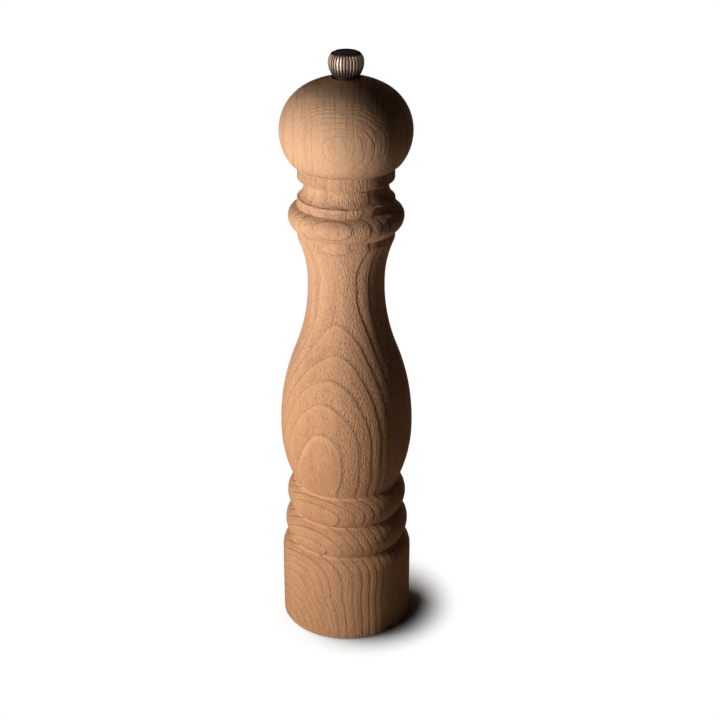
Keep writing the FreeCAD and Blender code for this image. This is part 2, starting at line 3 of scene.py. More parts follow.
import bpy
import numpy as np
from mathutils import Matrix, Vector


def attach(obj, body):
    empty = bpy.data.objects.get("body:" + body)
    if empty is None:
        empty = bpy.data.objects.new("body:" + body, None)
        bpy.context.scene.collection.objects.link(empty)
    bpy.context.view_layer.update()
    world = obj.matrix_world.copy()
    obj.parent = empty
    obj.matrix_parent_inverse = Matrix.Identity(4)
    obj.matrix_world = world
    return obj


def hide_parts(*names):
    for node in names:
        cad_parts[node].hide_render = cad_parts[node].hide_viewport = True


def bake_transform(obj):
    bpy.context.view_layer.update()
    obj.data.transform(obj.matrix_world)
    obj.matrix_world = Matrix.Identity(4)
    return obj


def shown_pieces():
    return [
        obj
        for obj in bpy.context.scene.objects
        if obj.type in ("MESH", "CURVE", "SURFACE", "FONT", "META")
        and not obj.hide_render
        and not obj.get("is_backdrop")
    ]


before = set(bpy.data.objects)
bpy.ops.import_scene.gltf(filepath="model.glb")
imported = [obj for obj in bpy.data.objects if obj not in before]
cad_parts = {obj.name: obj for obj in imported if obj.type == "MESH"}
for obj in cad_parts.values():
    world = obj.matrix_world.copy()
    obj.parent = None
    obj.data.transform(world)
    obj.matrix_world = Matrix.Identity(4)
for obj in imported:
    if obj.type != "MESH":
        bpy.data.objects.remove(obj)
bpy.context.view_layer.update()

# Looks of a turned beech pepper mill.
# Outlines are worked out in millimetres and put into the meshes in metres; materials and lamps are in metres.
MM = 0.001
FINE_STEP = 0.1
WOOD_EDGE_SOFTNESS = 0.32
METAL_EDGE_SOFTNESS = 0.12
SHARP_ANGLE = math.radians(38)

# Turned outline of the body, radius and height of each point where the stretch changes
BASE_EDGE = 0.6
BASE_RADIUS = 33.55
BASE_SIDE_TOP = 38.3
BASE_GROOVE = (28.7, 46.4)
LOWER_BEAD = (31.8, 54.85)
BEAD_GROOVE = (27.2, 63.3)
UPPER_BEAD = (30.55, 71.45)
VASE_GROOVE = (26.6, 79.6)
VASE_FOOT = (26.9, 80.8)
VASE_LOW = (33.25, 110.0)
VASE_HIGH = (33.25, 112.0)
VASE_BEND_SHARE = 0.53513
WAIST_LOW = (18.8, 187.0)
WAIST_HIGH = (18.8, 188.5)
LIP_LOW = (23.6144, 211.0)
LIP_HIGH = (23.6144, 214.8)
TORUS = (28.0, 221.9)
RING_LOW = (23.8, 227.1)
RING_TOP = (23.5, 231.4)
COVE_FOOT = (22.7, 231.4)
COVE_TOP = (20.4, 237.5)
NECK_TOP = (20.4, 240.1)
MOUTH_CHAMFER = 0.5
MOUTH_RADIUS = 14.0
MOUTH_FLOOR = 223.8
CHAMBER_RADIUS = 12.5
CHAMBER_MIDDLE = 120.0
RECESS_RADIUS = 21.0
RECESS_DEPTH = 26.0
SLOT_HALF_WIDTH = 4.7
SLOT_REACH = 24.2
SLOT_DEPTH = 5.0
SLOT_COLUMN_GAP = 0.0026
SEAM = 0.02
BODY_COLUMNS = 236
BODY_ROWS = 396
BODY_TURN_WEIGHT = 3.0

# Turned outline of the head
TENON_RADIUS = 13.7
TENON_BOTTOM = 225.7
COLLAR_RADIUS = 23.25
COLLAR_EDGE = 0.4
COLLAR_TOP = 246.0
DOME_EDGE = (26.25, 248.0)
DOME = (31.55, 263.2)
DOME_TOP = 288.6
CROWN_RISE = 2.1
WASHER_SEAT = 6.9
WASHER_FLOOR = 287.4
SPINDLE_BORE = 4.6926
HEAD_COLUMNS = 450
HEAD_ROWS = 204
HEAD_TURN_WEIGHT = 2.0

# Knob and its flutes
KNOB_FOOT = (6.2, 288.4)
KNOB_FOOT_TOP = 288.9
KNOB = (8.4, 295.2)
KNOB_SHOULDER = (6.6, 299.4)
KNOB_RIM = 299.7
KNOB_ROWS = 84
KNOB_TURN_WEIGHT = 2.0
KNOB_SIDE_MARGIN = 0.3
INSERT_BORE = 4.25
INSERT_TOP = 296.2
INSERT_LIP = 1.45
FLUTES = 32
FLUTE_DEPTH = 0.42
FLUTE_SHARE = 0.55
FLUTE_COLUMNS = 20
FLUTE_FOOT_CLEAR, FLUTE_FOOT_FADE = 0.1, 0.8
FLUTE_RIM_CLEAR, FLUTE_RIM_FADE = 0.15, 0.7

# Cap of the knob; the rows of its face are radius and rise over the face
CAP_SEAT = 5.75
CAP_RADIUS = 5.7
CAP_FLOOR = 298.6
CAP_TOP = 300.0
CAP_FACE = 299.75
CAP_POLE = 0.15
CAP_FACE_ROWS = [(CAP_POLE, 0.0), (2.4, 0.0), (4.3, 0.0), (4.6, 0.02)]
CAP_RIM = 5.15
CAP_RIM_WIDTH = 0.5
CAP_RIM_FOOT = 0.04
CAP_RIM_ROWS = 11
CAP_WALL_DROP = 0.12
CAP_EDGE = 0.05
CAP_COLUMNS = 96

# Coil spring: a round wire along a helix
SPRING_LOW, SPRING_HIGH = 12.4, 22.6
SPRING_RADIUS, SPRING_WIRE, SPRING_TURNS = 5.4, 1.0, 5
SPRING_STEPS, SPRING_SIDES = 48, 14


class Outline:
    """Half outline of a turned piece: straight stretches and arcs, kept as finely stepped points."""

    def __init__(self, radius, height):
        self.runs = [np.array([[radius, height]])]

    def here(self):
        return self.runs[-1][-1]

    def straight(self, radius, height):
        """Points evenly spaced on the line from the last point."""
        start, end = self.here(), np.array([radius, height])
        share = np.linspace(0, 1, steps_for(math.dist(start, end)))[1:, None]
        self.runs.append(start + share * (end - start))
        return self

    def leave_upright(self, radius, height):
        """Arc that starts parallel to the axis at the last point."""
        self.runs.append(upright_arc(self.here(), (radius, height))[1:])
        return self

    def reach_upright(self, radius, height):
        """Arc that ends parallel to the axis at the new point."""
        self.runs.append(upright_arc((radius, height), self.here())[::-1][1:])
        return self

    def points(self):
        return np.concatenate(self.runs)


def steps_for(length):
    return max(3, int(length / FINE_STEP) + 1)


def upright_arc(upright, end):
    """Circle arc through end that is parallel to the axis at upright: its radius is
    (inward squared + rise squared) / twice inward, and its points are evenly spaced in angle."""
    inward, rise = upright[0] - end[0], end[1] - upright[1]
    radius = (inward * inward + rise * rise) / (2 * inward)
    side, size = math.copysign(1, radius), abs(radius)
    centre = upright[0] - radius
    sweep = math.atan2(rise, side * (end[0] - centre))
    angle = np.linspace(0, sweep, steps_for(size * abs(sweep)))
    return np.column_stack([centre + side * size * np.cos(angle), upright[1] + size * np.sin(angle)])


def bell_curve(spread, step, spreads):
    """Weights exp(-x squared / 2) that add up to one, over a number of spreads either way, and their reach."""
    reach = int(spreads * spread / step)
    bell = np.exp(-0.5 * (np.arange(-reach, reach + 1) * step / spread) ** 2)
    return bell / bell.sum(), reach


def softened(outline, softness):
    """Even steps along the outline, each averaged with its neighbours by a bell curve, so edges are eased."""
    travel = np.concatenate([[0], np.cumsum(np.hypot(*np.diff(outline, axis=0).T))])
    even = np.linspace(0, travel[-1], int(travel[-1] / FINE_STEP) + 1)
    line = np.column_stack([np.interp(even, travel, outline[:, i]) for i in (0, 1)])
    bell, reach = bell_curve(softness, FINE_STEP, 4)
    before = 2 * line[0] - line[reach:0:-1]
    after = 2 * line[-1] - line[-2:-reach - 2:-1]
    long_line = np.concatenate([before, line, after])
    return np.column_stack([np.convolve(long_line[:, i], bell, "valid") for i in (0, 1)])


def rows_along(outline, count, turn_weight):
    """count points of a fine outline, spaced by length plus turn_weight millimetres per radian of turning."""
    leg = np.diff(outline, axis=0)
    heading = np.unwrap(np.arctan2(leg[:, 1], leg[:, 0]))
    travel = np.hypot(*leg.T) + turn_weight * np.abs(np.gradient(heading))
    travel = np.concatenate([[0], np.cumsum(travel)])
    pick = np.linspace(0, travel[-1], count)
    return np.column_stack([np.interp(pick, travel, outline[:, i]) for i in (0, 1)])


def outward(rows):
    """Unit normals of an outline that runs upward along the outside."""
    leg = np.gradient(rows, axis=0)
    normal = np.column_stack([leg[:, 1], -leg[:, 0]])
    return normal / np.linalg.norm(normal, axis=1, keepdims=True)


def even_angles(count):
    return np.arange(count) * 2 * math.pi / count


def spun(rows, angles):
    """Points of an outline turned about the axis: radius times cosine and sine of the angle, and height."""
    radius, height = rows[:, 0][:, None], rows[:, 1][:, None]
    flat = np.ones_like(angles)
    return np.stack([radius * np.cos(angles), radius * np.sin(angles), height * flat], axis=-1)


def pushed(rows, angles, amount):
    """Points of a spun outline moved out along its normals by an amount for each row and angle."""
    push = outward(rows)
    aside, up = push[:, :1] * amount, push[:, 1:] * amount
    return spun(rows, angles) + np.stack([aside * np.cos(angles), aside * np.sin(angles), up], axis=-1)


def grid_piece(name, grid, wrap_rows, poles=()):
    """Mesh of a grid of points, row by column: each cell is a quad, columns close round the axis,
    rows close on themselves where wrap_rows says so, and a pole closes the first or last row with a fan."""
    rows, columns = grid.shape[:2]
    index = np.arange(rows * columns).reshape(rows, columns)
    low = index if wrap_rows else index[:-1]
    high = np.roll(index, -1, axis=0) if wrap_rows else index[1:]
    right = np.roll(low, -1, axis=1), np.roll(high, -1, axis=1)
    faces = np.stack([low, right[0], right[1], high], axis=-1).reshape(-1, 4).tolist()
    points = grid.reshape(-1, 3)
    for row, pole in poles:
        edge = index[row] if row else index[row][::-1]
        tip = np.full(columns, len(points))
        faces += np.column_stack([edge, np.roll(edge, -1), tip]).tolist()
        points = np.concatenate([points, [pole]])
    mesh = bpy.data.meshes.new(name)
    mesh.from_pydata(points * MM, [], faces)
    mesh.polygons.foreach_set("use_smooth", np.ones(len(faces), bool))
    mesh.set_sharp_from_angle(angle=SHARP_ANGLE)
    mesh.update()
    piece = bpy.data.objects.new(name, mesh)
    bpy.context.scene.collection.objects.link(piece)
    return piece, points


def keep_values(piece, name, values):
    """Store one number per point, for the piece's material to read."""
    piece.data.attributes.new(name, "FLOAT", "POINT").data.foreach_set("value", values.astype(np.float32))


TABLE_STEP = 0.5
TABLE_HEIGHTS = np.arange(-60.0, 361.0, TABLE_STEP)


def eased_table(heights, values, spread):
    """Values between given heights, averaged by a bell curve of that spread, as a fine table."""
    raw = np.interp(TABLE_HEIGHTS, heights, values)
    bell, reach = bell_curve(spread, TABLE_STEP, 3)
    return TABLE_HEIGHTS, np.convolve(np.pad(raw, reach, "edge"), bell, "valid")


# Growth of the body's wood: where its pith stands behind it, how the rings lean, and how wide they are.
# Each wave of the wander is its size, its stretch in height, its stretch across, and its shift.
BODY_PITH_DISTANCE = 140.0
BODY_PITH_TURN = eased_table(
    [0, 38, 55, 71, 84, 100, 116, 140, 170, 205, 240],
    [-72, -49, -40.3, -34.1, -30, -26.7, -21.6, -17, -11.9, -12.6, -14.5], 4.0)
BODY_LEAN = eased_table(
    [0, 12, 24, 34, 42, 50, 58, 66, 74, 82, 92, 104,
     116, 130, 145, 160, 175, 190, 205, 216, 223, 227, 232, 240],
    [16.8, 20.8, 25.7, 28.1, 30.9, 32.2, 36.8, 37.7, 38.9, 44.1, 46.8, 49.6,
     51.0, 52.7, 53.2, 52.4, 52.8, 52.9, 54.7, 55.7, 55.9, 54.3, 51.0, 50.1], 2.0)
BODY_WANDER = [(0.20, 9.7, 8.1, 0.0), (0.12, 6.9, -5.3, 1.3)]
BODY_RING_WIDTH = 3.635
CLOSE_RINGS = 0.55
KNOT = (7.4, -19.2, 235.3)
KNOT_SPREAD = (2.0, 2.0, 2.6)
KNOT_RISE = 9.0

# Growth of the head's wood
HEAD_PITH_DISTANCE = 95.0
HEAD_PITH_TURN = math.radians(-6)
HEAD_LEAN = 0.02
HEAD_WANDER = [(0.22, 5.3, 4.7, 0.0), (0.16, -5.1, 2.9, 0.7)]
HEAD_RING_WIDTH = 1.35
HEAD_FIRST_RING = 0.9

# Wear of the wood between its ring lines, and the plain rows at the two ends of each outline
BODY_WEAR = 0.24
BODY_PLAIN_ROWS = (4, 12)
HEAD_WEAR = 0.03
HEAD_PLAIN_ROWS = (8, 4)
RISE_POWER = 2.2
HOLD_START, HOLD_FALL = 1.6, 3.2


def wander(x, z, waves):
    """Slow waves over the side-to-side place x and the height z."""
    return sum(size * np.sin(z / tall + x / wide + shift) for size, tall, wide, shift in waves)


def body_growth(points):
    """Ring count at each point: nearness to a bent pith behind the column, plus the rings' lean with height,
    a slow wander and one small knot, divided by the ring width; the first rings are closer together."""
    x, y, z = points.T
    turn = np.radians(np.interp(z, *BODY_PITH_TURN))
    pith_x, pith_y = -BODY_PITH_DISTANCE * np.sin(turn), BODY_PITH_DISTANCE * np.cos(turn)
    depth = BODY_PITH_DISTANCE - np.hypot(x - pith_x, y - pith_y) + np.interp(z, *BODY_LEAN)
    depth += wander(x, z, BODY_WANDER)
    away = (points - KNOT) / KNOT_SPREAD
    depth += KNOT_RISE * np.exp(-0.5 * (away ** 2).sum(axis=1))
    rings = depth / BODY_RING_WIDTH
    return np.where(rings < 0, rings / CLOSE_RINGS, rings)


def head_growth(points):
    """Ring count in the head: nearness to a straight pith behind it, plus a slight lean with height and a slow
    wander, divided by the ring width."""
    x, y, z = points.T
    pith = -HEAD_PITH_DISTANCE * math.sin(HEAD_PITH_TURN), HEAD_PITH_DISTANCE * math.cos(HEAD_PITH_TURN)
    depth = HEAD_PITH_DISTANCE - np.hypot(x - pith[0], y - pith[1]) + HEAD_LEAN * (z - DOME[1])
    depth += wander(x, z, HEAD_WANDER)
    return depth / HEAD_RING_WIDTH + HEAD_FIRST_RING


def worn_wood(rows, angles, growth_at, wear, plain_rows):
    """A spun outline, brushed below its turned surface: each ring rises from its soft early wood to its hard
    late wood and drops there. The wear fades where rings crowd closer than the mesh can hold, and stops at
    the ends of the outline."""
    turned = spun(rows, angles)
    growth = growth_at(turned.reshape(-1, 3)).reshape(turned.shape[:2])
    share = growth - np.floor(growth)
    slope = 1 - (1 - share) ** RISE_POWER
    crowding = np.abs(np.gradient(growth, axis=1)) + np.abs(np.gradient(growth, axis=0))
    hold = np.clip(HOLD_START - HOLD_FALL * crowding, 0, 1)
    worn = -wear * (1 - slope) * hold
    worn[:plain_rows[0]] = 0
    worn[-plain_rows[1]:] = 0
    return pushed(rows, angles, worn)


def body_outline():
    line = Outline(BASE_RADIUS - BASE_EDGE, 0)
    line.reach_upright(BASE_RADIUS, BASE_EDGE).straight(BASE_RADIUS, BASE_SIDE_TOP)
    line.leave_upright(*BASE_GROOVE).reach_upright(*LOWER_BEAD).leave_upright(*BEAD_GROOVE)
    line.reach_upright(*UPPER_BEAD).leave_upright(*VASE_GROOVE).straight(*VASE_FOOT)
    line.reach_upright(*VASE_LOW).straight(*VASE_HIGH)
    bend = np.array(VASE_HIGH) + VASE_BEND_SHARE * (np.array(WAIST_LOW) - VASE_HIGH)
    line.leave_upright(*bend).reach_upright(*WAIST_LOW).straight(*WAIST_HIGH)
    line.leave_upright(*LIP_LOW).straight(*LIP_HIGH).reach_upright(*TORUS).leave_upright(*RING_LOW)
    line.straight(*RING_TOP).straight(*COVE_FOOT).reach_upright(*COVE_TOP).straight(*NECK_TOP)
    line.straight(MOUTH_RADIUS + MOUTH_CHAMFER, NECK_TOP[1])
    return softened(line.points(), WOOD_EDGE_SOFTNESS)


def slot_angles(columns):
    """Even angles round the axis, with close pairs of columns at the four sides of the bridge's slot."""
    side = math.asin(SLOT_HALF_WIDTH / RECESS_RADIUS)
    sides = np.array([side, math.pi - side, math.pi + side, 2 * math.pi - side])
    even = even_angles(columns)
    clear = np.abs(even[:, None] - sides).min(axis=1) > 3 * SLOT_COLUMN_GAP
    return np.sort(np.concatenate([even[clear], sides - SLOT_COLUMN_GAP, sides + SLOT_COLUMN_GAP]))


def slot_edge(angles):
    """Radius of the opening's edge in the resting face: the recess, or the round-ended slot where that is
    further out."""
    across, along = np.abs(np.sin(angles)), np.abs(np.cos(angles))
    inside = np.maximum(SLOT_HALF_WIDTH ** 2 - (SLOT_REACH * across) ** 2, 0)
    round_end = SLOT_REACH * along + np.sqrt(inside)
    side = SLOT_HALF_WIDTH / np.maximum(across, 1e-6)
    at_end = np.arctan2(across, along) < math.atan2(SLOT_HALF_WIDTH, SLOT_REACH)
    return np.maximum(np.where(at_end, round_end, side), RECESS_RADIUS)


def column_row(radius, height, angles):
    """One row of points whose radius and height may change round the axis."""
    radius, height = radius + 0 * angles, height + 0 * angles
    return np.stack([radius * np.cos(angles), radius * np.sin(angles), height], axis=-1)


def turned_body():
    """The column: its outline spun about the axis and worn along its growth rings, then the mouth, the
    chamber, the grinder's recess and the bridge's slot, whose edge depends on the angle, as the rows that
    close it."""
    angles = slot_angles(BODY_COLUMNS)
    rows = rows_along(body_outline(), BODY_ROWS, BODY_TURN_WEIGHT)
    outside = worn_wood(rows, angles, body_growth, BODY_WEAR, BODY_PLAIN_ROWS)
    in_slot = np.abs(np.sin(angles)) * RECESS_RADIUS < SLOT_HALF_WIDTH
    roof = np.where(in_slot, SLOT_DEPTH, SEAM)
    edge = slot_edge(angles)
    closing = [(MOUTH_RADIUS, NECK_TOP[1] - MOUTH_CHAMFER), (MOUTH_RADIUS, MOUTH_FLOOR),
               (CHAMBER_RADIUS, MOUTH_FLOOR), (CHAMBER_RADIUS, CHAMBER_MIDDLE), (CHAMBER_RADIUS, RECESS_DEPTH),
               (RECESS_RADIUS, RECESS_DEPTH), (RECESS_RADIUS, roof),
               (np.where(in_slot, edge, RECESS_RADIUS + SEAM), roof),
               (np.where(in_slot, edge + SEAM, RECESS_RADIUS + 2 * SEAM), 0.0)]
    inside = np.stack([column_row(radius, height, angles) for radius, height in closing])
    piece, points = grid_piece("turned_body", np.concatenate([outside, inside]), True)
    keep_values(piece, "growth", body_growth(points))
    return piece


def head_outline():
    line = Outline(TENON_RADIUS + MOUTH_CHAMFER, NECK_TOP[1])
    line.straight(COLLAR_RADIUS - COLLAR_EDGE, NECK_TOP[1])
    line.reach_upright(COLLAR_RADIUS, NECK_TOP[1] + COLLAR_EDGE).straight(COLLAR_RADIUS, COLLAR_TOP)
    line.straight(*DOME_EDGE).reach_upright(*DOME)
    shoulder = DOME_TOP - DOME[1] - CROWN_RISE
    inset = DOME[0] - shoulder
    rise = DOME_TOP - DOME[1]
    crown = (inset ** 2 + rise ** 2 - shoulder ** 2) / (2 * CROWN_RISE)
    centre = DOME_TOP - crown
    meeting = math.atan2(inset, DOME[1] - centre)
    line.leave_upright(crown * math.sin(meeting), centre + crown * math.cos(meeting))
    stop = math.asin(WASHER_SEAT / crown)
    angle = np.linspace(meeting, stop, steps_for(crown * (meeting - stop)))[1:]
    line.runs.append(np.column_stack([crown * np.sin(angle), centre + crown * np.cos(angle)]))
    return softened(line.points(), WOOD_EDGE_SOFTNESS)


def turned_head():
    """The dome on its collar: the outline spun about the axis and worn along its rings, then the washer's
    seat, the spindle's bore and the tenon as the rows that close it."""
    angles = even_angles(HEAD_COLUMNS)
    rows = rows_along(head_outline(), HEAD_ROWS, HEAD_TURN_WEIGHT)
    outside = worn_wood(rows, angles, head_growth, HEAD_WEAR, HEAD_PLAIN_ROWS)
    closing = np.array([(WASHER_SEAT, WASHER_FLOOR), (SPINDLE_BORE, WASHER_FLOOR),
                        (SPINDLE_BORE, TENON_BOTTOM), (TENON_RADIUS, TENON_BOTTOM),
                        (TENON_RADIUS, NECK_TOP[1] - MOUTH_CHAMFER)])
    piece, points = grid_piece("turned_head", np.concatenate([outside, spun(closing, angles)]), True)
    keep_values(piece, "growth", head_growth(points))
    return piece


def fluted_knob():
    """The knob: its barrel outline spun about the axis, with flutes between flat lands; a flute's depth is a
    cosine of the angle from its middle and dies out at the rim and the foot."""
    line = Outline(INSERT_BORE, KNOB_FOOT[1]).straight(*KNOB_FOOT).straight(KNOB_FOOT[0], KNOB_FOOT_TOP)
    line.reach_upright(*KNOB).leave_upright(*KNOB_SHOULDER).straight(CAP_SEAT, KNOB_RIM)
    rows = rows_along(softened(line.points(), METAL_EDGE_SOFTNESS), KNOB_ROWS, KNOB_TURN_WEIGHT)
    angles = even_angles(FLUTES * FLUTE_COLUMNS)
    from_middle = np.abs((FLUTES * angles / math.pi + 1) % 2 - 1)
    flute = 0.5 + 0.5 * np.cos(math.pi * np.clip(from_middle / FLUTE_SHARE, 0, 1))
    low = np.clip((rows[:, 1] - KNOB_FOOT_TOP - FLUTE_FOOT_CLEAR) / FLUTE_FOOT_FADE, 0, 1)
    high = np.clip((KNOB_SHOULDER[1] - FLUTE_RIM_CLEAR - rows[:, 1]) / FLUTE_RIM_FADE, 0, 1)
    side = (rows[:, 0] > KNOB_FOOT[0] - KNOB_SIDE_MARGIN) * 1.0
    reach = (low * high * side)[:, None] * flute
    # Painted shade: a band at the foot and one at the shoulder get full flute darkness, so they take the dark
    # flute colour where no flute is cut
    painted_shade = np.maximum(1 - high, 1 - low)
    outside = pushed(rows, angles, -FLUTE_DEPTH * reach)
    throat = INSERT_BORE - INSERT_LIP
    closing = np.array([(CAP_SEAT, CAP_FLOOR), (throat, CAP_FLOOR), (throat, INSERT_TOP),
                        (INSERT_BORE, INSERT_TOP)])
    piece, points = grid_piece("fluted_knob", np.concatenate([outside, spun(closing, angles)]), True)
    values = np.zeros(len(points))
    # The stored value is the flute depth, raised to full darkness in the painted shade bands at the foot and
    # shoulder
    values[:reach.size] = np.maximum(reach, painted_shade[:, None]).ravel()
    keep_values(piece, "flute", values)
    return piece


def rimmed_cap():
    """The disc in the knob's top: a flat face inside a low rounded rim, an eased edge and a flat underside,
    spun about the axis."""
    face = np.array(CAP_FACE_ROWS) + (0, CAP_FACE)
    swell = np.linspace(-1, 1, CAP_RIM_ROWS)
    rim_foot = CAP_FACE + CAP_RIM_FOOT
    rim = np.column_stack([CAP_RIM + CAP_RIM_WIDTH * swell, rim_foot + (CAP_TOP - rim_foot) * (1 - swell ** 2)])
    wall = np.array([(CAP_RADIUS, KNOB_RIM - CAP_WALL_DROP), (CAP_RADIUS, CAP_FLOOR + CAP_EDGE),
                     (CAP_RADIUS - CAP_EDGE, CAP_FLOOR)])
    rows = np.concatenate([face, rim, wall, [[CAP_POLE, CAP_FLOOR]]])[::-1]
    poles = [(0, (0, 0, CAP_FLOOR)), (len(rows) - 1, (0, 0, CAP_FACE))]
    return grid_piece("rimmed_cap", spun(rows, even_angles(CAP_COLUMNS)), False, poles)[0]


def coil_spring():
    """The spring: a circle carried along a helix, square to the wire, its ends closed by flat fans."""
    turn = np.linspace(0, 2 * math.pi * SPRING_TURNS, SPRING_TURNS * SPRING_STEPS + 1)[:, None]
    pitch = (SPRING_HIGH - SPRING_LOW) / (2 * math.pi * SPRING_TURNS)
    ring = -even_angles(SPRING_SIDES)
    level = math.hypot(SPRING_RADIUS, pitch)
    out = SPRING_WIRE / 2 * np.cos(ring)
    up = SPRING_WIRE / 2 * np.sin(ring)
    x = (SPRING_RADIUS + out) * np.cos(turn) + up * pitch / level * np.sin(turn)
    y = (SPRING_RADIUS + out) * np.sin(turn) - up * pitch / level * np.cos(turn)
    z = SPRING_LOW + pitch * turn + up * SPRING_RADIUS / level
    grid = np.stack([x, y, z], axis=-1)
    ends = [(0, tuple(grid[0].mean(axis=0))), (len(grid) - 1, tuple(grid[-1].mean(axis=0)))]
    return grid_piece("coil_spring", grid, False, ends)[0]


def add_node(tree, kind, inputs=None, **settings):
    """A shader node with its settings, and its inputs given as numbers, colours or other nodes' outputs."""
    made = tree.nodes.new(kind)
    for key, value in settings.items():
        setattr(made, key, value)
    for key, value in (inputs or {}).items():
        if isinstance(value, bpy.types.NodeSocket):
            tree.links.new(value, made.inputs[key])
        else:
            made.inputs[key].default_value = value
    return made


def blank_material(name):
    material = bpy.data.materials.new(name)
    material.use_nodes = True
    tree = material.node_tree
    return material, tree, tree.nodes["Principled BSDF"]


def surface(tree, shader, colour, roughness, height, strength, depth):
    """Joins a colour, a roughness and a fine relief to the shader."""
    tree.links.new(colour, shader.inputs["Base Color"])
    tree.links.new(roughness, shader.inputs["Roughness"])
    bump = add_node(tree, "ShaderNodeBump", {"Strength": strength, "Distance": depth, "Height": height})
    tree.links.new(bump.outputs[0], shader.inputs["Normal"])


def sums(tree, operation, first, second):
    return add_node(tree, "ShaderNodeMath", {0: first, 1: second}, operation=operation).outputs[0]


def times(tree, first, second):
    return sums(tree, "MULTIPLY", first, second)


def blended(tree, share, first, second):
    """Colour between first and second by share."""
    return add_node(tree, "ShaderNodeMix", {0: share, 6: first, 7: second}, data_type="RGBA").outputs[2]


def ramp(tree, value, stops):
    """Number picked from a value along given stops."""
    made = add_node(tree, "ShaderNodeValToRGB", {0: value})
    marks = made.color_ramp.elements
    while len(marks) < len(stops):
        marks.new(0.5)
    for mark, (place, level) in zip(marks, stops):
        mark.position = place
        mark.color = (level, level, level, 1)
    return made.outputs[0]


def own_place(tree):
    """The piece's own coordinates."""
    return add_node(tree, "ShaderNodeTexCoord").outputs["Object"]


def stretched(tree, scale):
    """The piece's own coordinates, drawn out along an axis."""
    return add_node(tree, "ShaderNodeMapping", {"Vector": own_place(tree), "Scale": scale}).outputs[0]


def noise(tree, vector, scale, detail=2.0, rough=0.5):
    inputs = {"Vector": vector, "Scale": scale, "Detail": detail, "Roughness": rough}
    return add_node(tree, "ShaderNodeTexNoise", inputs).outputs[0]


def length(tree, vector):
    return add_node(tree, "ShaderNodeVectorMath", {0: vector}, operation="LENGTH").outputs["Value"]


# Beech: how its noises are drawn out, how many waves they have to the metre, and what is picked from them.
# Ring stops run over one ring, from its dark line at 0 to the next ring's line at 1.
ALONG_GRAIN, STREAKED_GRAIN = (1, 1, 0.45), (1, 1, 0.07)
RAY_GRAIN, PORE_GRAIN = (1, 0.04, 0.012), (1, 1, 0.32)
FRAY_SCALE, FIBRE_SCALE, STREAK_SCALE, CLOUD_SCALE = 1150, 2300, 260, 40
RAY_SCALE, PORE_SCALE, BREAK_SCALE, OPEN_SCALE = 950, 1500, 210, 110
CLOUD_STOPS = [(0.35, 0), (0.65, 1)]
STREAK_STOPS = [(0.45, 0), (0.75, 1)]
RAY_STOPS = [(0.0, 0), (0.60, 0), (0.66, 1)]
RAY_DOT_STOPS = [(0.36, 0.2), (0.56, 1.0)]
PORE_STOPS = [(0.0, 0), (0.57, 0), (0.68, 1)]
OPEN_STOPS = [(0.38, 0.35), (0.62, 1.0)]
BREAK_LOW, BREAK_HIGH = 0.40, 0.56
LINE_STOPS = [(0.0, 1.0), (0.06, 0.8), (0.12, 0.0), (0.97, 0.0), (1.0, 0.8)]
EDGE_STOPS = [(0.0, 0.0), (0.80, 0.0), (0.92, 0.45), (0.97, 0.45), (1.0, 0.0)]
EARLY_STOPS = [(0.0, 1.0), (0.30, 0.8), (0.65, 0.2), (0.95, 0.0), (1.0, 1.0)]
RISE_STOPS = [(0.0, 0.0), (0.08, 0.1), (0.45, 0.75), (0.92, 1.0), (1.0, 0.0)]
WOOD_ROUGHNESS = [(0.3, 0.76), (0.7, 0.92)]
WOOD_GLOSS = 0.02
STREAK_STRENGTH, PORE_STRENGTH, LIP_HIGHLIGHT_STRENGTH = 0.22, 0.22, 0.75
TOP_RING_STRENGTH = 0.1
SMOOTH_GRAIN, OPEN_GRAIN = 0.55, 0.9
FIBRE_HEIGHT, PORE_DEPTH, RAY_DEPTH = 0.6, 0.4, 0.35
GRAIN_STRENGTH, GRAIN_DEPTH = 0.8, 0.0005
# Painted highlight on the lip at the top of a bead: rise from the groove, and how pale; ramps run from 0 to 1
# over LIP_SPAN
LIP_HIGHLIGHT_PROFILE = [(-0.0011, 0), (-0.0004, 1), (0.0001, 1), (0.0004, 0)]
LIP_SPAN = 0.1


